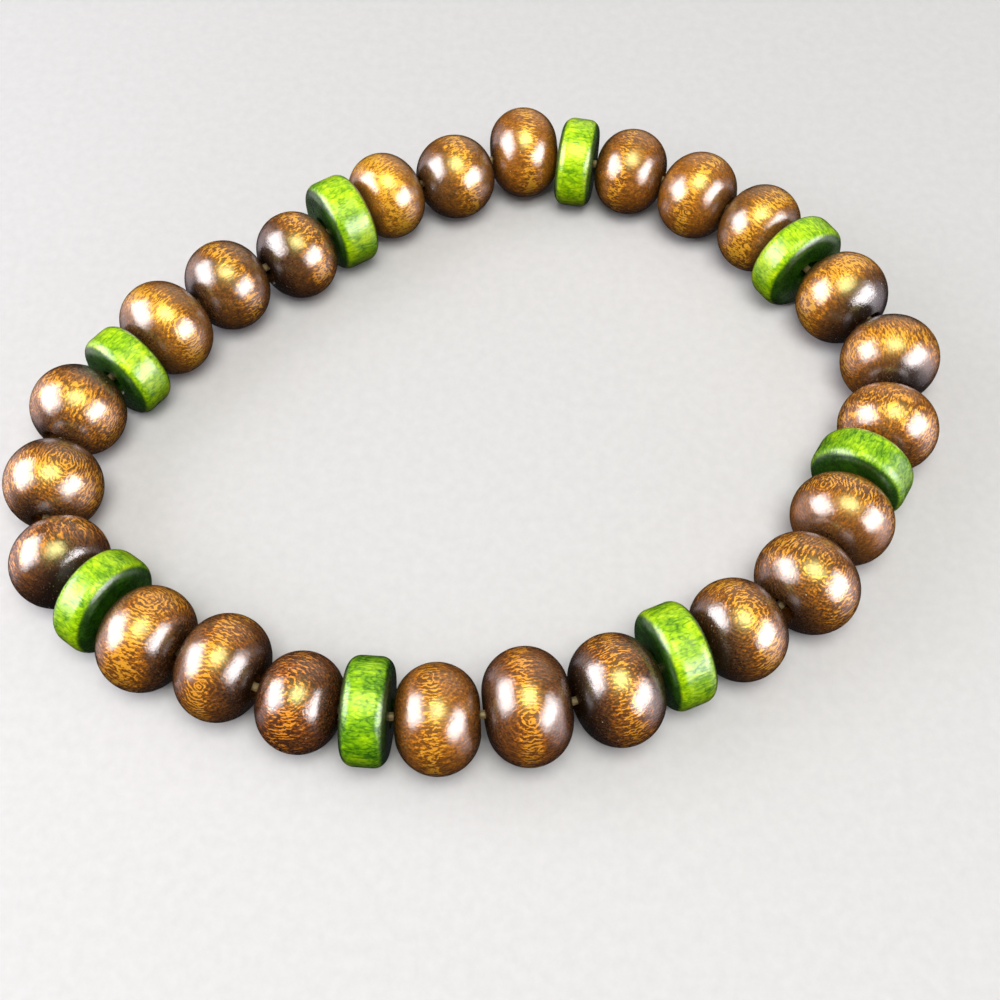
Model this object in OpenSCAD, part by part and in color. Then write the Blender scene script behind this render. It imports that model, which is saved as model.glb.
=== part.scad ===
// Stretch bracelet: oblate wooden beads in groups of three with a flat wooden disc between the groups,
// all threaded on one hidden elastic cord and closed into a loop. It lies flat on a surface at z = 0.
// The beads run clockwise seen from above. Millimetres, Z up, origin under the middle of the loop.

/* [Beads] */
// Diameter of a bead across the thread
bead_d = 9.5; // [9:0.1:10]
// Length of a bead along the thread
bead_l = 7.65; // [7.3:0.05:8.2]

/* [Discs] */
// Diameter of a disc across the thread
disc_d = 9.5; // [9:0.1:10]
// Thickness of a disc along the thread
disc_t = 4; // [3:0.1:5]
// Rounding of the disc rim where it meets the faces
disc_edge = 1.2; // [0.4:0.1:1.3]

/* [Thread] */
// Diameter of the bore through every bead and disc
bore_d = 2.6; // [2.2:0.1:3]
// Width of the small chamfer where a bore meets the end of a bead or disc
bore_chamfer = 0.2; // [0.1:0.05:0.3]
// Diameter of the elastic cord
cord_d = 0.8; // [0.5:0.1:0.8]
// Space that the loop leaves between neighbours along the thread, measured at the bores
space = 0.3; // [0.26:0.01:0.6]

/* [Loop] */
// How strongly the loop keeps its uneven hand-laid outline, 0 is a circle
unevenness = 1; // [0:0.1:1]
// How strongly beads and discs differ from each other in size, 0 is all alike
variation = 1; // [0:0.1:1]
// Direction of the first bead from the middle of the loop, in degrees
first_at = 84.1; // [0:0.1:360]

/* [Hidden] */
$fn = 96;

COUNT = 32;      // beads and discs on the thread
EVERY = 4;       // one piece in four is a disc
FIRST_DISC = 1;  // place of the first disc

// Waves that turn the circle into the hand-laid outline: waves per turn, cosine part, sine part
WAVES = [
  [2, 0.095, 0.1],
  [3, -0.022, -0.034],
  [4, 0.03, 0.016]
];
WAVE = 0; COS = 1; SIN = 2;

// Natural differences, one row per piece in order along the thread:
// diameter in percent, length in percent, shift outwards in tenths of a millimetre, turn in degrees
VARY = [
  [2, -5, 8, 2], [-1, -2, -2, -1], [-3, -2, 1, 2], [-1, 1, 0, -3],
  [0, -3, -1, -5], [5, -5, -9, -5], [2, 10, 0, 10], [3, 6, 13, -4],
  [2, -5, 3, -9], [-1, 2, -11, -6], [3, -5, -6, 8], [5, 0, 10, 4],
  [1, 0, 5, -1], [0, 5, -4, -6], [6, 1, 3, -2], [10, -2, -2, -1],
  [3, -3, 3, 4], [1, 1, 0, 3], [-5, -4, 1, 0], [3, -5, -9, -4],
  [3, -3, -2, 3], [2, -6, -3, 10], [-3, 0, 9, 2], [-2, 10, 3, -7],
  [-1, 7, 3, -5], [-5, 1, -11, -4], [5, -1, -5, 8], [-1, 3, 5, 6],
  [-3, -1, -1, 1], [1, 11, 4, -9], [-2, -8, 4, -1], [-5, 9, -8, 3]
];
DIA = 0; LEN = 1; OUT = 2; TURN = 3;

function is_disc(i) = i % EVERY == FIRST_DISC;
function vary(i, col) = variation * VARY[i][col];
function dia(i) = (is_disc(i) ? disc_d : bead_d) * (1 + vary(i, DIA) / 100);
function len_of(i) = (is_disc(i) ? disc_t : bead_l) * (1 + vary(i, LEN) / 100);

// The outline at the scale of a unit circle, and the length along it
function radius(a) = 1 + unevenness * sum([for (w = WAVES) w[COS] * cos(w[WAVE] * a) + w[SIN] * sin(w[WAVE] * a)]);
function sum(list, i = 0) = i < len(list) ? list[i] + sum(list, i + 1) : 0;
function unit(a) = radius(a) * [cos(a), sin(a)];
ALONG = [for (a = 0, s = 0; a <= 360; s = s + norm(unit(a + 1) - unit(a)), a = a + 1) [s, a]];
ROUND = ALONG[360][0];

// Places along the thread, measured back from the first piece
STEPS = [for (i = [0 : COUNT - 1]) (len_of(i) + len_of((i + 1) % COUNT)) / 2 + space];
LENGTH = sum(STEPS);
SCALE = LENGTH / ROUND;
function before(i) = i == 0 ? 0 : before(i - 1) + STEPS[i - 1];
function wrap(s) = s - floor(s / LENGTH) * LENGTH;
START = SCALE * lookup(first_at, [for (p = ALONG) [p[1], p[0]]]);
function angle_at(s) = lookup(wrap(s) / SCALE, ALONG);
function spot(s) = SCALE * unit(angle_at(s));
NEAR = 0.4;  // half the chord that gives a direction
function heading_at(s) = let (d = spot(s - NEAR) - spot(s + NEAR)) atan2(d[1], d[0]);

AT = [for (i = [0 : COUNT - 1]) START - before(i)];
YAW = [for (i = [0 : COUNT - 1]) heading_at(AT[i]) + vary(i, TURN)];
MID = [for (i = [0 : COUNT - 1]) let (h = heading_at(AT[i])) spot(AT[i]) + vary(i, OUT) / 10 * [-sin(h), cos(h)]];

// Half the size of a piece along X (q = 0) and Y (q = 90)
function reach(i, q) = let (c = abs(cos(YAW[i] - q)), s = abs(sin(YAW[i] - q)), e = is_disc(i) ? disc_edge : len_of(i) / 2)
  (len_of(i) / 2 - e) * c + (dia(i) / 2 - e) * s + e;
function middle(q) = let (k = q / 90)
  (max([for (i = [0 : COUNT - 1]) MID[i][k] + reach(i, q)]) + min([for (i = [0 : COUNT - 1]) MID[i][k] - reach(i, q)])) / 2;
SHIFT = [middle(0), middle(90)];
function place(i) = [MID[i][0] - SHIFT[0], MID[i][1] - SHIFT[1], dia(i) / 2];

BROWN = [0.42, 0.24, 0.09];
GREEN = [0.36, 0.62, 0.05];
CLEAR = [0.86, 0.86, 0.82];

// Turned profile without the bore: the side is one round of radius edge, and a flat face is left where there is room
module profile(d, l, edge) {
  translate([0, -l / 2]) square([d / 2 - edge, l]);
  if (l > 2 * edge) translate([0, edge - l / 2]) square([d / 2, l - 2 * edge]);
  for (y = l > 2 * edge ? [-1, 1] : [0]) translate([d / 2 - edge, y * (l / 2 - edge)]) circle(r = edge);
}

// A drilled piece, thread along Z
module drilled(d, l, edge) {
  r = bore_d / 2;
  difference() {
    rotate_extrude() intersection() {
      profile(d, l, edge);
      translate([0, -l]) square([d, 2 * l]);
    }
    cylinder(r = r, h = 2 * l, center = true);
    for (side = [0, 1]) mirror([0, 0, side])
      translate([0, 0, l / 2 - bore_chamfer]) cylinder(r1 = r, r2 = r + 2 * bore_chamfer, h = 2 * bore_chamfer);
  }
}

module laid(i) {
  translate(place(i)) rotate([0, 0, YAW[i]]) rotate([0, 90, 0]) children();
}

module bead(i) {
  color(BROWN) laid(i) drilled(dia(i), len_of(i), len_of(i) / 2);
}

module disc(i) {
  color(GREEN) laid(i) drilled(dia(i), len_of(i), disc_edge);
}

// The cord runs straight through each bore, from the midpoint of one gap to the next, and bends a little before and after each midpoint
function dir(i) = [cos(YAW[i]), sin(YAW[i]), 0];
GAPS = [for (i = [0 : COUNT - 1]) let (j = (i + 1) % COUNT)
  (place(i) + dir(i) * len_of(i) / 2 + place(j) - dir(j) * len_of(j) / 2) / 2];
BEND = 0.08;  // share of a straight stretch that each bend takes
ROUTE = [for (i = [0 : COUNT - 1]) let (p = GAPS[i], back = GAPS[(i + COUNT - 1) % COUNT], on = GAPS[(i + 1) % COUNT])
  each [p + BEND * (back - p), p + BEND * (on - p)]];
RINGS = len(ROUTE);
SIDES = 8;
function ring(k) = let (
    t = ROUTE[(k + 1) % RINGS] - ROUTE[(k + RINGS - 1) % RINGS],
    u = t / norm(t), v = [-u[1], u[0], 0] / norm([u[0], u[1]]), w = cross(u, v))
  [for (n = [0 : SIDES - 1]) let (a = 360 * n / SIDES) ROUTE[k] + cord_d / 2 * (cos(a) * v + sin(a) * w)];

module cord() {
  color(CLEAR) polyhedron(
    points = [for (k = [0 : RINGS - 1]) each ring(k)],
    faces = [for (k = [0 : RINGS - 1], n = [0 : SIDES - 1])
      let (a = k * SIDES, b = (k + 1) % RINGS * SIDES, m = (n + 1) % SIDES) [a + n, b + n, b + m, a + m]]
  );
}

bead(0);  // bead_01
disc(1);  // disc_1
bead(2);  // bead_02
bead(3);  // bead_03
bead(4);  // bead_04
disc(5);  // disc_2
bead(6);  // bead_05
bead(7);  // bead_06
bead(8);  // bead_07
disc(9);  // disc_3
bead(10);  // bead_08
bead(11);  // bead_09
bead(12);  // bead_10
disc(13);  // disc_4
bead(14);  // bead_11
bead(15);  // bead_12
bead(16);  // bead_13
disc(17);  // disc_5
bead(18);  // bead_14
bead(19);  // bead_15
bead(20);  // bead_16
disc(21);  // disc_6
bead(22);  // bead_17
bead(23);  // bead_18
bead(24);  // bead_19
disc(25);  // disc_7
bead(26);  // bead_20
bead(27);  // bead_21
bead(28);  // bead_22
disc(29);  // disc_8
bead(30);  // bead_23
bead(31);  // bead_24
cord();
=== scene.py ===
import math
import random

import bpy
import numpy as np
from mathutils import Matrix, Vector


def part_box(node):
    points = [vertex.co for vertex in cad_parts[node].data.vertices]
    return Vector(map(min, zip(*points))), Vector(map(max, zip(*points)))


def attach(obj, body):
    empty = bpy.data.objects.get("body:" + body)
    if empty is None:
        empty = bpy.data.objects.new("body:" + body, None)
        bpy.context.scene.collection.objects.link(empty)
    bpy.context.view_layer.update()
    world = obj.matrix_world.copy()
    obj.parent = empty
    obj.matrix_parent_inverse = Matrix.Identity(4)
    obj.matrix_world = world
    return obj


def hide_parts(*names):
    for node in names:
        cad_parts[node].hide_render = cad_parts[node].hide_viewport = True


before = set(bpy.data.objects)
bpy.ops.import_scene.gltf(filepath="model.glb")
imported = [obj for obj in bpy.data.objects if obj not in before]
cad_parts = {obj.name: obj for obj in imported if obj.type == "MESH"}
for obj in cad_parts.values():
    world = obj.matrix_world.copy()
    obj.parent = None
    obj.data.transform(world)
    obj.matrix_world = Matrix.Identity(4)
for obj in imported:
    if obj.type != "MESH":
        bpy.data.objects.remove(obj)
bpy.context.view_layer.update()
MM = 0.001

# ------------------------------------------------------------------ camera
cam_data = bpy.data.cameras.new("camera")
cam_data.lens = 50
cam_data.sensor_width = 36
cam_data.sensor_fit = "HORIZONTAL"
cam_data.clip_start = 0.01
cam_data.clip_end = 20
camera = bpy.data.objects.new("camera", cam_data)
bpy.context.scene.collection.objects.link(camera)
bpy.context.scene.camera = camera
PITCH, ROLL = math.radians(58.727), 0.00256
right = Vector((1, 0, 0))
up = Vector((0, math.sin(PITCH), math.cos(PITCH)))
ahead = Vector((0, math.cos(PITCH), -math.sin(PITCH)))
cam_x = math.cos(ROLL) * right + math.sin(ROLL) * up
cam_y = -math.sin(ROLL) * right + math.cos(ROLL) * up
turn = Matrix((cam_x, cam_y, -ahead)).transposed().to_4x4()
camera.matrix_world = Matrix.Translation(Vector((1.541, -79.258, 116.421)) * MM) @ turn

# ------------------------------------------------------------------ layout, as in the CAD source
COUNT, EVERY, FIRST_DISC = 32, 4, 1
BEAD_D, BEAD_L, DISC_D, DISC_T = 9.5, 7.65, 9.5, 4.0
DISC_EDGE, BORE_R, CHAMFER = 1.2, 1.3, 0.2
SPACE, FIRST_AT, CORD_D = 0.3, 84.1, 0.8
WAVES = [(2, 0.095, 0.1), (3, -0.022, -0.034), (4, 0.03, 0.016)]
VARY = [
    [2, -5, 8, 2], [-1, -2, -2, -1], [-3, -2, 1, 2], [-1, 1, 0, -3],
    [0, -3, -1, -5], [5, -5, -9, -5], [2, 10, 0, 10], [3, 6, 13, -4],
    [2, -5, 3, -9], [-1, 2, -11, -6], [3, -5, -6, 8], [5, 0, 10, 4],
    [1, 0, 5, -1], [0, 5, -4, -6], [6, 1, 3, -2], [10, -2, -2, -1],
    [3, -3, 3, 4], [1, 1, 0, 3], [-5, -4, 1, 0], [3, -5, -9, -4],
    [3, -3, -2, 3], [2, -6, -3, 10], [-3, 0, 9, 2], [-2, 10, 3, -7],
    [-1, 7, 3, -5], [-5, 1, -11, -4], [5, -1, -5, 8], [-1, 3, 5, 6],
    [-3, -1, -1, 1], [1, 11, 4, -9], [-2, -8, 4, -1], [-5, 9, -8, 3],
]


def is_disc(i):
    return i % EVERY == FIRST_DISC


rows = np.array(VARY, float)
disc = np.array([is_disc(i) for i in range(COUNT)])
DIA = np.where(disc, DISC_D, BEAD_D) * (1 + rows[:, 0] / 100)
LEN = np.where(disc, DISC_T, BEAD_L) * (1 + rows[:, 1] / 100)

deg = np.radians(np.arange(361))


def outline(a):
    return 1 + sum(c * np.cos(k * a) + s * np.sin(k * a) for k, c, s in WAVES)


ring = np.stack([outline(deg) * np.cos(deg), outline(deg) * np.sin(deg)], 1)
run = np.concatenate([[0], np.cumsum(np.linalg.norm(np.diff(ring, axis=0), axis=1))])
steps = (LEN + np.roll(LEN, -1)) / 2 + SPACE
TOTAL = steps.sum()
SCALE = TOTAL / run[-1]


def spot(t):
    a = np.interp((t % TOTAL) / SCALE, run, deg)
    return (outline(a) * SCALE)[:, None] * np.stack([np.cos(a), np.sin(a)], 1)


at = SCALE * np.interp(FIRST_AT, np.degrees(deg), run) - np.concatenate([[0], np.cumsum(steps[:-1])])
step = spot(at - 0.4) - spot(at + 0.4)
heading = np.arctan2(step[:, 1], step[:, 0])
mid = spot(at) + rows[:, 2:3] / 10 * np.stack([-np.sin(heading), np.cos(heading)], 1)
YAW = heading + np.radians(rows[:, 3])


def reach(q):
    c, s = np.abs(np.cos(YAW - q)), np.abs(np.sin(YAW - q))
    e = np.where(disc, DISC_EDGE, LEN / 2)
    return (LEN / 2 - e) * c + (DIA / 2 - e) * s + e


for k, q in ((0, 0.0), (1, math.pi / 2)):
    r = reach(q)
    mid[:, k] -= ((mid[:, k] + r).max() + (mid[:, k] - r).min()) / 2
PLACE = np.column_stack([mid, DIA / 2])

names, nb, nd = [], 0, 0
for i in range(COUNT):
    if is_disc(i):
        nd += 1
        names.append(f"disc_{nd}")
    else:
        nb += 1
        names.append(f"bead_{nb:02d}")

for i, n in enumerate(names):
    lo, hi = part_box(n)
    off = (Vector(lo) + Vector(hi)) / 2 / MM - Vector(PLACE[i])
    if off.length > 0.05:
        raise SystemExit(f"{n} isn't where the layout puts it: off by {off.length:.3f} mm")

# ------------------------------------------------------------------ turned shapes


def arc(cx, cr, radius, a0, a1, n):
    t = np.radians(np.linspace(a0, a1, n))
    return [(cx + radius * math.cos(a), cr + radius * math.sin(a)) for a in t]


def half_profile(d, l, edge):
    """Right half, from the middle of the side to the middle of the bore, as (along the thread, from the thread)."""
    c = l / 2
    flat, centre = c - edge, d / 2 - edge
    top = BORE_R + CHAMFER
    pts, corners = [], {}
    if flat > 1e-6:
        pts += [(x, d / 2) for x in np.linspace(0, flat, 7)[:-1]]
    end = 0.0
    if centre < top:
        lo, hi = 0.0, math.pi / 2
        for _ in range(60):
            m = (lo + hi) / 2
            if centre + edge * math.sin(m) > BORE_R + flat + edge * math.cos(m) - (c - CHAMFER):
                hi = m
            else:
                lo = m
        end = math.degrees(hi)
    n = 34 if edge > 2 else 16
    pts += arc(flat, centre, edge, 90, end, n)
    if centre >= top:
        for r in np.linspace(centre, top, 2 + int((centre - top) / 0.35))[1:]:
            pts.append((c, float(r)))
    corners[len(pts) - 1] = 0.09
    pts.append((c - CHAMFER, BORE_R))
    corners[len(pts) - 1] = 0.08
    pts += [(x, BORE_R) for x in np.linspace(c - CHAMFER, 0, 7)[1:]]
    return pts, corners


def profile(d, l, edge):
    pts, corners = half_profile(d, l, edge)
    half = eased_open(pts, corners)
    other = [(-x, r) for x, r in reversed(half)]
    return half + other[1:-1]


def eased_open(pts, corners):
    """Eases the corners of an open run of points."""
    line = [tuple(map(float, p)) for p in pts]
    out = []
    for k, p in enumerate(line):
        if k not in corners:
            out.append(p)
            continue
        radius = corners[k]
        p = np.array(p)
        u = np.array(line[k - 1]) - p
        v = np.array(line[k + 1]) - p
        half = math.acos(max(-1.0, min(1.0, float(u @ v / np.linalg.norm(u) / np.linalg.norm(v))))) / 2
        tangent = radius / math.tan(half)
        while len(out) > 2 and math.dist(out[-1], p) < tangent * 1.05:
            out.pop()
        u = np.array(out[-1]) - p
        u /= np.linalg.norm(u)
        v /= np.linalg.norm(v)
        tangent = min(tangent, 0.45 * math.dist(line[k + 1], p))
        for s in np.linspace(0, 1, 6):
            q = (1 - s) ** 2 * (p + tangent * u) + 2 * s * (1 - s) * p + s * s * (p + tangent * v)
            out.append((float(q[0]), float(q[1])))
    return out


def turned(i, around=112):
    """A drilled bead or disc, thread along its own X, as one closed quad mesh with a lathe unwrapping."""
    rng = random.Random(4100 + i)
    d, l = float(DIA[i]), float(LEN[i])
    edge = DISC_EDGE if is_disc(i) else l / 2
    prof = np.array(profile(d, l, edge))
    m = len(prof)
    theta = np.arange(around) * 2 * math.pi / around
    x = np.repeat(prof[:, 0][:, None], around, 1)
    r = np.repeat(prof[:, 1][:, None], around, 1)
    # hand finishing: the side is a few hundredths of a millimetre low here and there, never proud
    amount = 0.012 if is_disc(i) else 0.028
    low = np.zeros_like(r)
    for k in (2, 3, 4, 5):
        low += rng.uniform(0.4, 1) / k * np.cos(k * theta[None, :] + rng.uniform(0, 6.3) + rng.uniform(-0.5, 0.5) * x)
    low = (low - low.min()) / (low.max() - low.min())
    outer = np.clip((r - (BORE_R + CHAMFER)) / (d / 2 - BORE_R - CHAMFER), 0, 1) ** 0.7
    shrink = amount * low * outer
    # the point that rests on what the piece lies on stays where the CAD has it
    down = np.clip((-np.sin(theta)[None, :] - 0.92) / 0.08, 0, 1)
    shrink = shrink * (1 - down)
    r = r - shrink
    co = np.stack([x, r * np.cos(theta)[None, :], r * np.sin(theta)[None, :]], -1).reshape(-1, 3) * MM
    seg = np.linalg.norm(np.diff(np.vstack([prof, prof[:1]]), axis=0), axis=1)
    v = np.concatenate([[0], np.cumsum(seg)]) / seg.sum()
    faces, uvs = [], []
    for a in range(m):
        b = (a + 1) % m
        for j in range(around):
            k = (j + 1) % around
            faces.append((a * around + j, a * around + k, b * around + k, b * around + j))
            u0, u1 = j / around, (j + 1) / around
            uvs += [(u0, v[a]), (u1, v[a]), (u1, v[a + 1]), (u0, v[a + 1])]
    mesh = bpy.data.meshes.new(names[i] + "_turned")
    mesh.from_pydata(co.tolist(), [], faces)
    layer = mesh.uv_layers.new(name="OFBake")
    layer.data.foreach_set("uv", np.array(uvs, np.float32).ravel())
    mesh.validate()
    mesh.polygons.foreach_set("use_smooth", [True] * len(mesh.polygons))
    mesh.update()
    obj = bpy.data.objects.new(names[i] + "_turned", mesh)
    bpy.context.scene.collection.objects.link(obj)
    obj.matrix_world = Matrix.Translation(Vector(PLACE[i]) * MM) @ Matrix.Rotation(float(YAW[i]), 4, "Z")
    return obj


# ------------------------------------------------------------------ material nodes


class Tree:
    def __init__(self, name):
        self.mat = bpy.data.materials.new(name)
        self.mat.use_nodes = True
        self.nodes = self.mat.node_tree.nodes
        self.links = self.mat.node_tree.links
        self.nodes.clear()
        self.out = self.nodes.new("ShaderNodeOutputMaterial")
        self.bsdf = self.nodes.new("ShaderNodeBsdfPrincipled")
        self.links.new(self.bsdf.outputs[0], self.out.inputs[0])

    def put(self, socket, value):
        if hasattr(value, "is_output"):
            self.links.new(value, socket)
        elif value is not None:
            socket.default_value = value

    def math(self, op, a, b=None, c=None, clamp=False):
        n = self.nodes.new("ShaderNodeMath")
        n.operation = op
        n.use_clamp = clamp
        for k, v in enumerate((a, b, c)):
            self.put(n.inputs[k], v)
        return n.outputs[0]

    def vec(self, op, a, b=None, scale=None):
        n = self.nodes.new("ShaderNodeVectorMath")
        n.operation = op
        self.put(n.inputs[0], a)
        if b is not None:
            self.put(n.inputs[1], b)
        if scale is not None:
            self.put(n.inputs["Scale"], scale)
        return n.outputs["Value"] if op in ("DOT_PRODUCT", "LENGTH", "DISTANCE") else n.outputs["Vector"]

    def noise(self, vector, scale=1.0, detail=2.0, rough=0.5, distort=0.0):
        n = self.nodes.new("ShaderNodeTexNoise")
        self.put(n.inputs["Vector"], vector)
        n.inputs["Scale"].default_value = scale
        n.inputs["Detail"].default_value = detail
        n.inputs["Roughness"].default_value = rough
        n.inputs["Distortion"].default_value = distort
        return n.outputs["Fac"]

    def cells(self, vector, scale=1.0, feature="F1", rand=1.0):
        n = self.nodes.new("ShaderNodeTexVoronoi")
        n.feature = feature
        self.put(n.inputs["Vector"], vector)
        n.inputs["Scale"].default_value = scale
        n.inputs["Randomness"].default_value = rand
        return n

    def ramp(self, fac, stops, smooth=False):
        n = self.nodes.new("ShaderNodeValToRGB")
        el = n.color_ramp.elements
        n.color_ramp.interpolation = "EASE" if smooth else "LINEAR"
        while len(el) < len(stops):
            el.new(0.5)
        for e, (p, col) in zip(el, stops):
            e.position = p
            e.color = (*col, 1) if len(col) == 3 else col
        self.put(n.inputs[0], fac)
        return n.outputs[0]

    def step(self, value, a, b, lo=0.0, hi=1.0):
        """Smooth change from lo to hi as value goes from a to b."""
        n = self.nodes.new("ShaderNodeMapRange")
        n.interpolation_type = "SMOOTHSTEP"
        self.put(n.inputs["Value"], value)
        n.inputs["From Min"].default_value = a
        n.inputs["From Max"].default_value = b
        n.inputs["To Min"].default_value = lo
        n.inputs["To Max"].default_value = hi
        return n.outputs["Result"]

    def mix(self, fac, a, b, kind="MIX"):
        n = self.nodes.new("ShaderNodeMix")
        n.data_type = "RGBA"
        n.blend_type = kind
        n.clamp_factor = True
        self.put(n.inputs[0], fac)
        self.put(n.inputs[6], (*a, 1) if isinstance(a, tuple) and len(a) == 3 else a)
        self.put(n.inputs[7], (*b, 1) if isinstance(b, tuple) and len(b) == 3 else b)
        return n.outputs[2]

    def bump(self, height, strength, distance, normal=None):
        n = self.nodes.new("ShaderNodeBump")
        n.inputs["Strength"].default_value = strength
        n.inputs["Distance"].default_value = distance
        self.put(n.inputs["Height"], height)
        if normal is not None:
            self.put(n.inputs["Normal"], normal)
        return n.outputs[0]

    def coords(self, rng):
        """Own coordinates of the piece in millimetres, and the same moved to a place of their own in the noise."""
        tc = self.nodes.new("ShaderNodeTexCoord")
        p = self.vec("SCALE", tc.outputs["Object"], scale=1000.0)
        away = tuple(rng.uniform(-400, 400) for _ in range(3))
        return p, self.vec("ADD", p, away)

    def split(self, v):
        n = self.nodes.new("ShaderNodeSeparateXYZ")
        self.put(n.inputs[0], v)
        return n.outputs


def srgb(h):
    c = [int(h[k : k + 2], 16) / 255 for k in (1, 3, 5)]
    return tuple(v / 12.92 if v <= 0.04045 else ((v + 0.055) / 1.055) ** 2.4 for v in c)


# Where the growth rings make a bull's-eye on a bead: direction round the thread in degrees from
# the side towards the top, place along the thread in mm, strength. Other beads get a seeded one.
FIGURE = {
    11: (85, -0.6, 0.5), 12: (83, 0.8, 0.8), 15: (53, 0.3, 1.0), 16: (117, 0.9, 0.7),
    19: (45, -0.4, 1.0), 23: (116, 0.2, 1.0), 26: (144, -0.2, 0.9),
}
# The tone and painted sheen of a bead: how light its side is, how much lighter the golden band round its belly is,
# where along the thread the band sits and how wide it is, both as a part of half the length. The golden band is partly
# lighter side grain and partly a painted chatoyant sheen. The lightness values also hold painted light: how much light
# falls on each bead where it lies.
TONE_AND_PAINTED_SHEEN = {
    0: (0.37, 0.21, 0.09, 0.21), 2: (0.32, 0.15, -0.16, 0.17), 3: (0.35, 0.27, 0.11, 0.20), 4: (0.21, 0.34, 0.18, 0.34),
    6: (0.10, 0.49, -0.13, 0.36), 7: (0.05, 0.30, 0.11, 0.50), 8: (0.32, 0.12, 0.25, 0.55), 10: (0.32, 0.06, -0.15, 0.30),
    11: (0.15, 0.18, 0.15, 0.55), 12: (0.14, 0.31, -0.03, 0.36), 14: (0.10, 0.25, 0.04, 0.36), 15: (0.21, 0.23, 0.10, 0.22),
    16: (0.34, 0.18, 0.14, 0.20), 18: (0.17, 0.09, 0.08, 0.45), 19: (0.18, 0.29, -0.04, 0.30), 20: (0.05, 0.35, -0.11, 0.55),
    22: (0.08, 0.15, 0.21, 0.50), 23: (0.04, 0.31, -0.17, 0.52), 24: (0.02, 0.30, -0.19, 0.55), 26: (0.27, 0.40, -0.15, 0.29),
    27: (0.19, 0.21, 0.04, 0.26), 28: (0.14, 0.26, 0.16, 0.32), 30: (0.27, 0.44, -0.19, 0.42), 31: (0.21, 0.30, 0.04, 0.28),
}
# beads whose grain shows less than on the others, and by how much
FAINT = {
    0: 0.80, 2: 0.90, 3: 0.78, 4: 0.66, 6: 0.68, 7: 0.48, 8: 0.66, 10: 0.80, 11: 0.68, 20: 0.70, 22: 0.66,
    23: 0.74, 24: 0.68, 26: 0.78, 27: 0.86, 28: 0.80, 30: 0.52, 31: 0.68,
}
# how much more or less yellow than the rest a bead took the stain
YELLOW = {
    0: 1.06, 2: 1.05, 3: 1.07, 4: 1.13, 6: 1.08, 7: 1.07, 8: 1.03, 10: 1.04, 11: 1.05, 12: 1.04, 14: 0.99, 15: 0.95,
    16: 1.03, 18: 0.87, 19: 0.98, 20: 1.02, 22: 0.96, 23: 1.05, 24: 1.05, 26: 1.12, 27: 1.08, 28: 1.04, 30: 1.16, 31: 1.11,
}
BROWNS = [
    (0.01, (0.012, 0.0045, 0.0020)), (0.05, (0.048, 0.0175, 0.0060)), (0.13, (0.135, 0.0480, 0.0100)),
    (0.30, (0.330, 0.1060, 0.0080)), (0.56, (0.620, 0.2120, 0.0130)), (0.90, (0.920, 0.4250, 0.0400)),
]


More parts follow.
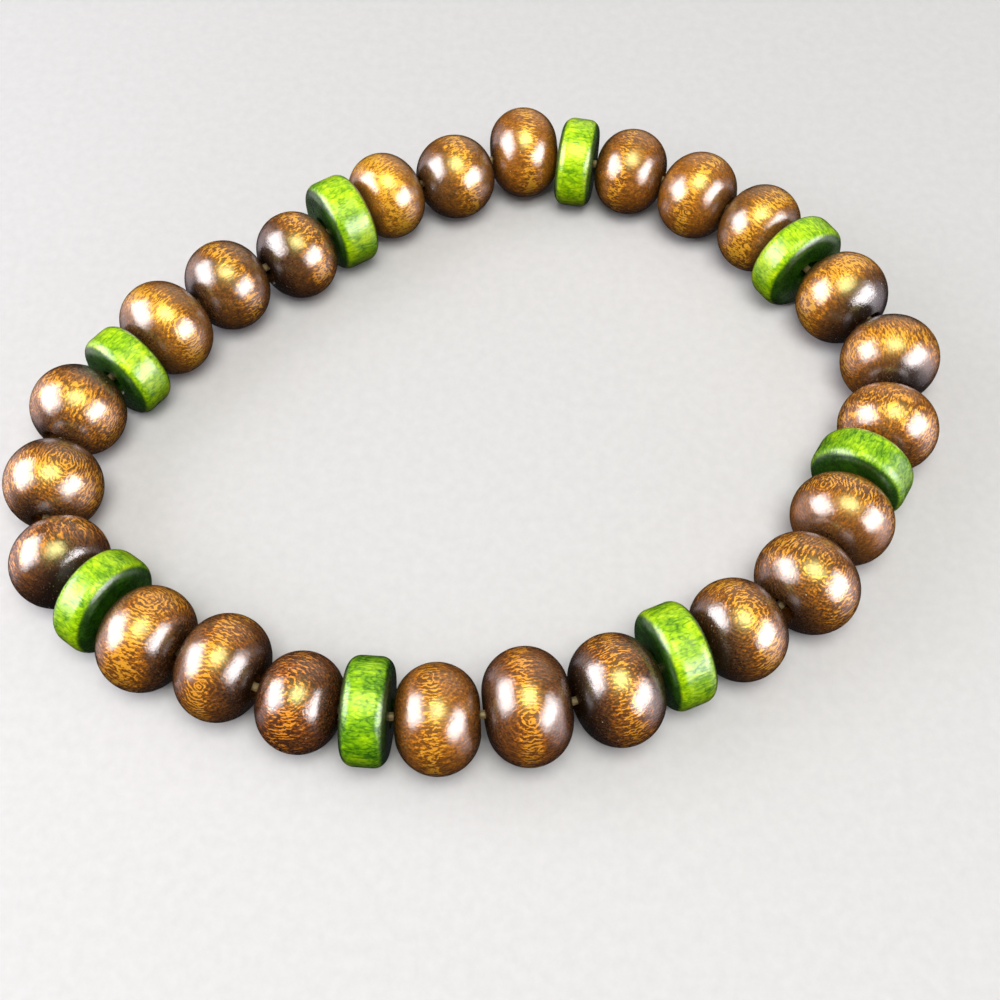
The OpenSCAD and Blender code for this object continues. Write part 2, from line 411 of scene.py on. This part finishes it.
def brown_wood(i):
    rng = random.Random(900 + 37 * i)
    t = Tree(names[i] + "_brown_wood")
    p, q = t.coords(rng)
    xyz = t.split(p)
    x = xyz[0]
    half = float(LEN[i]) / 2
    pole, x0, amount = FIGURE.get(i, (rng.uniform(-180, 180), rng.uniform(-1.6, 1.6), rng.uniform(0.1, 0.5)))
    side, gold, middle, wide = TONE_AND_PAINTED_SHEEN[i]
    a = math.radians(pole)
    u, v = (0.0, math.cos(a), math.sin(a)), (0.0, -math.sin(a), math.cos(a))
    # growth layers: rings round the pole, and lines along the thread on the sides
    xs = t.math("MULTIPLY", t.math("SUBTRACT", x, x0), 0.85)
    ys = t.vec("DOT_PRODUCT", p, v)
    zs = t.vec("DOT_PRODUCT", p, u)
    rho = t.math("SQRT", t.math("ADD", t.math("MULTIPLY", xs, xs), t.math("MULTIPLY", ys, ys)))
    warp = t.math("MULTIPLY", t.math("SUBTRACT", t.noise(q, 0.42, 2, 0.5), 0.5), 1.9)
    jig = t.math("MULTIPLY", t.math("SUBTRACT", t.noise(q, 2.0, 2, 0.6), 0.5), 0.60)
    layer = t.math("ADD", t.math("ADD", t.math("MULTIPLY_ADD", zs, -0.6, rho), warp), jig)
    wave = t.math("MULTIPLY_ADD", t.math("SINE", t.math("MULTIPLY", layer, 2 * math.pi / 0.42)), 0.5, 0.5)
    near = t.math("MULTIPLY", t.step(rho, 3.4, 1.2), t.step(zs, 0.0, 2.0))
    line = t.step(wave, 0.50, 0.90)
    patch = t.step(t.noise(t.vec("MULTIPLY", q, (1.0, 1.7, 1.7)), 1.0, 2, 0.6), 0.40, 0.58)
    patch = t.math("MAXIMUM", patch, t.math("MULTIPLY", near, amount * 0.8))
    dash = t.math("MULTIPLY", line, patch)
    # fibres and pores, drawn out along the thread
    fibre = t.noise(t.vec("MULTIPLY", q, (1.1, 5.0, 5.0)), 1.0, 4, 0.65)
    fine = t.noise(t.vec("MULTIPLY", q, (2.2, 6.8, 6.8)), 1.0, 2, 0.6)
    speck = t.noise(t.vec("MULTIPLY", q, (1.9, 4.6, 4.6)), 1.0, 2, 0.6)
    mottle = t.noise(q, 0.38, 3, 0.55)
    # the belly is side grain and lighter, with a painted golden sheen; the ends are end grain and took the stain dark,
    # and are painted darker still as shade where they face the next piece
    e = t.math("MULTIPLY", x, 1 / half)
    e = t.math("MULTIPLY_ADD", t.math("SUBTRACT", mottle, 0.5), 0.30, e)
    e = t.math("MULTIPLY_ADD", t.math("SUBTRACT", fibre, 0.5), 0.16, e)
    out = t.math("SUBTRACT", e, middle)
    # the golden band: lighter side grain with a painted chatoyant sheen on it
    band = t.math("EXPONENT", t.math("MULTIPLY", t.math("MULTIPLY", out, out), -1 / wide ** 2))
    # painted shade: the ends get darker towards the neighbouring pieces, on top of their dark end-grain stain
    end_stain_and_shade = t.math("MULTIPLY_ADD", t.math("ABSOLUTE", e), -1.6, 1.92, clamp=True)
    light = t.math("MULTIPLY_ADD", band, gold, t.math("MULTIPLY", end_stain_and_shade, side * 0.57))
    light = t.math("MAXIMUM", t.math("MULTIPLY_ADD", light, 1.84, -0.040), 0.012)
    rough = t.math("MULTIPLY_ADD", dash, t.math("MULTIPLY_ADD", band, 0.55, 0.75), 0.66)
    rough = t.math("MULTIPLY_ADD", near, -0.18 * amount, rough)
    rough = t.math("MULTIPLY_ADD", t.math("SUBTRACT", fibre, 0.5), 1.6, rough)
    rough = t.math("MULTIPLY_ADD", t.math("SUBTRACT", speck, 0.5), 3.2, rough)
    rough = t.math("MULTIPLY_ADD", t.math("SUBTRACT", fine, 0.5), 2.8, rough)
    rough = t.math("MULTIPLY_ADD", t.math("SUBTRACT", mottle, 0.5), 1.0, rough)
    rough = t.math("MULTIPLY_ADD", t.math("SUBTRACT", rough, 1.0), t.math("MULTIPLY_ADD", band, 1.80 * FAINT.get(i, 1.0), 0.65 * FAINT.get(i, 1.0)), 1.0)
    rough = t.math("MAXIMUM", rough, 0.20)
    # on the sides the grain is a few light dashes on an even dark ground
    skew = t.math("MULTIPLY_ADD", t.math("MULTIPLY", rough, rough), 0.58, 0.40)
    skew = t.math("MULTIPLY", t.math("SUBTRACT", skew, rough), t.math("MULTIPLY_ADD", band, -0.55, 0.90))
    tone = t.math("MULTIPLY", light, t.math("ADD", rough, skew))
    colour = t.ramp(tone, [(at_tone, (r, g * YELLOW[i], b)) for at_tone, (r, g, b) in BROWNS])
    # pores filled with dark stain
    pore = t.step(t.noise(t.vec("MULTIPLY", q, (1.3, 8.0, 8.0)), 1.0, 2, 0.5), 0.66, 0.74)
    colour = t.mix(t.math("MULTIPLY", pore, 0.2), colour, (0.03, 0.010, 0.003))
    # painted reflection haze: pale grey-brown specks painted into the colour all over
    pale = t.step(t.noise(q, 5.0, 2, 0.6), 0.60, 0.72)
    colour = t.mix(t.math("MULTIPLY", pale, 0.30), colour, (0.42, 0.27, 0.17))
    # sparse tiny pale flecks on the lacquer
    pale_flecks = t.cells(q, 0.75)
    lone = t.step(pale_flecks.outputs["Distance"], 0.055, 0.030)
    colour = t.mix(t.math("MULTIPLY", lone, 0.75), colour, (0.75, 0.66, 0.56))
    t.put(t.bsdf.inputs["Base Color"], colour)
    t.put(t.bsdf.inputs["Metallic"], t.math("MULTIPLY", band, 0.12))
    t.put(t.bsdf.inputs["Roughness"], t.math("MULTIPLY_ADD", tone, -0.15, 0.46))
    t.bsdf.inputs["IOR"].default_value = 1.5
    t.bsdf.inputs["Specular IOR Level"].default_value = 0.12
    t.bsdf.inputs["Coat Weight"].default_value = 1.0
    t.bsdf.inputs["Coat Roughness"].default_value = 0.055
    t.bsdf.inputs["Coat IOR"].default_value = 1.9
    relief = t.math("ADD", t.math("MULTIPLY", fibre, 0.6), t.math("MULTIPLY", pore, -0.8))
    t.put(t.bsdf.inputs["Normal"], t.bump(relief, 0.5, 0.00005))
    skin = t.math("ADD", t.noise(q, 4.5, 3, 0.75), t.math("MULTIPLY", t.noise(q, 0.8, 1, 0.5), 1.6))
    t.put(t.bsdf.inputs["Coat Normal"], t.bump(skin, 1.0, 0.000026))
    return t.mat


GREENS = [
    (0.00, (0.015, 0.085, 0.0005)), (0.28, (0.075, 0.240, 0.0008)), (0.52, (0.215, 0.470, 0.0010)),
    (0.76, (0.410, 0.700, 0.0020)), (1.00, (0.680, 0.890, 0.0120)),
]
# dark greens of the flat faces: their darker stain and painted shade
FACE_STAIN_AND_SHADE = [(0.0, (0.003, 0.016, 0.001)), (0.5, (0.010, 0.050, 0.002)), (1.0, (0.040, 0.140, 0.006))]


# how much lighter or darker than the rest a disc is: partly the stain it took, partly painted light for how much light
# falls where it lies
STAIN_AND_PAINTED_LIGHT = {1: 0.14, 5: 0.11, 9: -0.05, 13: 0.06, 17: -0.14, 21: 0.03, 25: 0.11, 29: 0.08}


def green_wood(i):
    rng = random.Random(300 + 53 * i)
    t = Tree(names[i] + "_green_wood")
    p, q = t.coords(rng)
    xyz = t.split(p)
    half, rad = float(LEN[i]) / 2, float(DIA[i]) / 2
    ax = t.math("ABSOLUTE", xyz[0])
    r = t.math("SQRT", t.math("ADD", t.math("MULTIPLY", xyz[1], xyz[1]), t.math("MULTIPLY", xyz[2], xyz[2])))
    # 0 on the rim, 1 on the flat faces, which take the dark greens: partly end grain that took more stain, partly
    # painted shade where they face the neighbouring beads
    over = t.step(ax, half - 0.80, half - 0.05)
    face = t.math("MAXIMUM", over, t.step(r, rad - 0.85, rad - 1.45))
    fibre = t.noise(t.vec("MULTIPLY", q, (0.6, 4.6, 4.6)), 1.0, 4, 0.65)
    fine = t.noise(t.vec("MULTIPLY", q, (1.8, 6.5, 6.5)), 1.0, 2, 0.6)
    mottle = t.noise(q, 0.55, 3, 0.6)
    speck = t.noise(q, 3.2, 2, 0.6)
    vein = t.noise(t.vec("MULTIPLY", q, (1.0, 1.8, 1.8)), 1.0, 1, 0.4, 0.4)
    vein = t.math("MULTIPLY_ADD", t.math("ABSOLUTE", t.math("SUBTRACT", vein, 0.5)), -9.0, 1.0, clamp=True)
    # the tone holds each disc's stain and its painted light
    tone = t.math("MULTIPLY_ADD", vein, -0.26, 0.65 + STAIN_AND_PAINTED_LIGHT[i])
    tone = t.math("MULTIPLY_ADD", t.math("SUBTRACT", fibre, 0.5), 0.8, tone)
    tone = t.math("MULTIPLY_ADD", t.math("SUBTRACT", fine, 0.5), 0.6, tone)
    tone = t.math("MULTIPLY_ADD", t.math("SUBTRACT", mottle, 0.5), 1.1, tone)
    tone = t.math("MULTIPLY_ADD", t.math("SUBTRACT", speck, 0.5), 0.4, tone)
    blend = t.step(t.math("MULTIPLY_ADD", t.math("SUBTRACT", mottle, 0.5), 0.5, face), 0.25, 0.85)
    t.put(t.bsdf.inputs["Base Color"], t.mix(blend, t.ramp(tone, GREENS), t.ramp(tone, FACE_STAIN_AND_SHADE)))
    t.put(t.bsdf.inputs["Roughness"], t.math("MULTIPLY_ADD", tone, -0.12, 0.50))
    t.bsdf.inputs["IOR"].default_value = 1.5
    t.bsdf.inputs["Specular IOR Level"].default_value = 0.15
    t.bsdf.inputs["Coat Weight"].default_value = 1.0
    t.bsdf.inputs["Coat Roughness"].default_value = 0.09
    t.bsdf.inputs["Coat IOR"].default_value = 1.5
    t.put(t.bsdf.inputs["Normal"], t.bump(fibre, 0.5, 0.00006))
    skin = t.math("ADD", t.noise(q, 4.5, 3, 0.75), t.math("MULTIPLY", t.noise(q, 0.8, 1, 0.5), 1.6))
    t.put(t.bsdf.inputs["Coat Normal"], t.bump(skin, 1.0, 0.000030))
    return t.mat


def elastic():
    t = Tree("elastic_cord")
    rng = random.Random(7)
    p, q = t.coords(rng)
    n = t.noise(q, 6.0, 3, 0.6)
    t.put(t.bsdf.inputs["Base Color"], t.ramp(n, [(0.3, srgb("#957d58")), (0.7, srgb("#c4b088"))]))
    t.put(t.bsdf.inputs["Roughness"], t.math("MULTIPLY_ADD", n, 0.2, 0.3))
    t.bsdf.inputs["Transmission Weight"].default_value = 0.35
    t.bsdf.inputs["IOR"].default_value = 1.42
    t.put(t.bsdf.inputs["Normal"], t.bump(n, 0.3, 0.00002))
    return t.mat


for i in range(COUNT):
    piece = turned(i)
    piece.data.materials.append(green_wood(i) if is_disc(i) else brown_wood(i))
    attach(piece, "root")
    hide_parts(names[i])

# ------------------------------------------------------------------ cord
cord_mat = elastic()
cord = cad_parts["cord"]
cord.data.materials.clear()
cord.data.materials.append(cord_mat)

# ------------------------------------------------------------------ floor, lights, surroundings
# one seamless sweep: a flat round floor that turns up into a pale wall all round
FLAT, BEND_R, WALL = 0.9, 0.5, 1.2
section = [(r, 0.0) for r in (0.05, 0.1, 0.2, 0.4, 0.65, FLAT)]
section += [(FLAT + BEND_R * math.sin(a), BEND_R - BEND_R * math.cos(a)) for a in np.radians(np.arange(7.5, 90.1, 7.5))]
section += [(FLAT + BEND_R, BEND_R + WALL)]
around = 96
verts = [(0.0, 0.0, 0.0)]
for r, z in section:
    verts += [(r * math.cos(2 * math.pi * k / around), r * math.sin(2 * math.pi * k / around), z) for k in range(around)]
faces = [(0, 1 + k, 1 + (k + 1) % around) for k in range(around)]
for ringno in range(len(section) - 1):
    a, b = 1 + ringno * around, 1 + (ringno + 1) * around
    faces += [(a + k, b + k, b + (k + 1) % around, a + (k + 1) % around) for k in range(around)]
floor_mesh = bpy.data.meshes.new("floor")
floor_mesh.from_pydata(verts, [], faces)
floor_mesh.polygons.foreach_set("use_smooth", [True] * len(floor_mesh.polygons))
floor = bpy.data.objects.new("floor", floor_mesh)
bpy.context.scene.collection.objects.link(floor)
floor.visible_diffuse = False
floor.visible_glossy = False
floor.visible_shadow = False
ft = Tree("floor")
tc = ft.nodes.new("ShaderNodeTexCoord")
grain = ft.noise(tc.outputs["Object"], 900, 3, 0.6)
ft.put(ft.bsdf.inputs["Base Color"], ft.ramp(grain, [(0.3, (0.520, 0.528, 0.602)), (0.7, (0.555, 0.563, 0.638))]))
ft.bsdf.inputs["Roughness"].default_value = 0.75
ft.bsdf.inputs["Specular IOR Level"].default_value = 0.25
out = ft.vec("LENGTH", tc.outputs["Object"])
# painted light: the floor glows more with distance from the middle, fully from 0.75 m out and on the wall, standing in
# for lamp light that doesn't reach there
ft.bsdf.inputs["Emission Color"].default_value = (0.80, 0.79, 0.77, 1)
ft.put(ft.bsdf.inputs["Emission Strength"], ft.step(out, 0.0, 0.75, 0.0, 0.80))
floor_mesh.materials.append(ft.mat)


LEFT, RIGHT, TOP = 10.0, 11.0, 7.6


def lamp(name, towards, far, wide, high, radiance, colour, shine=True, shade=True):
    """A soft box of wide by high degrees, far mm from the middle of the object, that faces it.

    One with shine only shows in gloss, one with shade only lights without showing in gloss.
    """
    data = bpy.data.lights.new(name, "AREA")
    data.shape = "RECTANGLE"
    data.size = 2 * far * math.tan(math.radians(wide / 2)) * MM
    data.size_y = 2 * far * math.tan(math.radians(high / 2)) * MM
    data.energy = radiance * data.size * data.size_y * math.pi
    data.color = colour
    o = bpy.data.objects.new(name, data)
    bpy.context.scene.collection.objects.link(o)
    w = Vector(towards).normalized()
    o.location = w * far * MM
    o.rotation_mode = "QUATERNION"
    o.rotation_quaternion = (-w).to_track_quat("-Z", "Y")
    o.visible_camera = False
    o.visible_diffuse = shade
    o.visible_glossy = shine
    return o


lamp("shine_left", (-0.840, -0.02, 0.515), 321, 51, 39, LEFT, (1.0, 0.955, 0.97), shade=False)
lamp("shine_right", (0.790, -0.420, 0.446), 474, 50, 32, RIGHT, (1.0, 0.96, 0.975), shade=False)
lamp("shine_top", (0.05, -0.13, 1.0), 547, 32, 30, TOP, (1.0, 0.99, 0.42), shade=False)
lamp("shade_left", (-0.850, -0.02, 0.500), 321, 46, 38, 3.1, (1.0, 0.97, 0.95), shine=False)
lamp("shade_right", (0.830, -0.420, 0.330), 474, 52, 32, 0.8, (1.0, 0.97, 0.95), shine=False)
lamp("shade_key", (0.05, -0.30, 0.95), 547, 30, 30, 11.2, (1.0, 0.968, 0.83), shine=False)
lamp("shade_fill", (0.0, 0.0, 1.0), 600, 100, 100, 0.42, (1.0, 0.97, 0.86), shine=False)

# dim soft surroundings, seen in the gloss only: glows low on the right and left, fainter ones behind and above, dark where the viewer stands
world = bpy.data.worlds.new("studio")
bpy.context.scene.world = world
world.use_nodes = True
world.cycles_visibility.diffuse = False
wn, wl = world.node_tree.nodes, world.node_tree.links
towards = wn.new("ShaderNodeTexCoord").outputs["Generated"]
total = None
GLOWS = [
    ((0.0, 0.0, 1.0), -1.0, 1.0, 0.05, (0.95, 0.95, 1.0)),
    ((0.25, 0.88, 0.40), 0.70, 0.98, 0.60, (1.0, 0.95, 0.78)),
    ((0.97, -0.20, -0.10), 0.72, 0.98, 1.00, (1.0, 0.88, 0.95)),
    ((-0.95, 0.28, -0.12), 0.74, 0.98, 1.00, (1.0, 0.88, 0.95)),
    ((0.95, -0.28, -0.02), 0.93, 0.985, 1.1, (1.0, 0.93, 0.96)),
    ((0.05, -0.10, 1.00), 0.55, 0.98, 0.55, (0.95, 1.00, 0.25)),
    ((0.05, -0.10, 1.00), 0.84, 1.00, 1.25, (1.00, 1.00, 0.30)),
]
for way_to, start, full, bright, tint in GLOWS:
    d = wn.new("ShaderNodeVectorMath")
    d.operation = "DOT_PRODUCT"
    wl.new(towards, d.inputs[0])
    d.inputs[1].default_value = Vector(way_to).normalized()
    m = wn.new("ShaderNodeMapRange")
    m.interpolation_type = "SMOOTHSTEP"
    wl.new(d.outputs["Value"], m.inputs["Value"])
    m.inputs["From Min"].default_value = start
    m.inputs["From Max"].default_value = full
    m.inputs["To Min"].default_value = 0.02 if start < -0.9 else 0.0
    m.inputs["To Max"].default_value = bright
    c = wn.new("ShaderNodeVectorMath")
    c.operation = "SCALE"
    c.inputs[0].default_value = tint
    wl.new(m.outputs["Result"], c.inputs["Scale"])
    if total is None:
        total = c.outputs["Vector"]
    else:
        add = wn.new("ShaderNodeVectorMath")
        add.operation = "ADD"
        wl.new(total, add.inputs[0])
        wl.new(c.outputs["Vector"], add.inputs[1])
        total = add.outputs["Vector"]
wl.new(total, wn["Background"].inputs[0])
wn["Background"].inputs[1].default_value = 1.0

view = bpy.context.scene.view_settings
view.view_transform = "Standard"
view.look = "None"
view.exposure = 0.0
view.gamma = 1.0
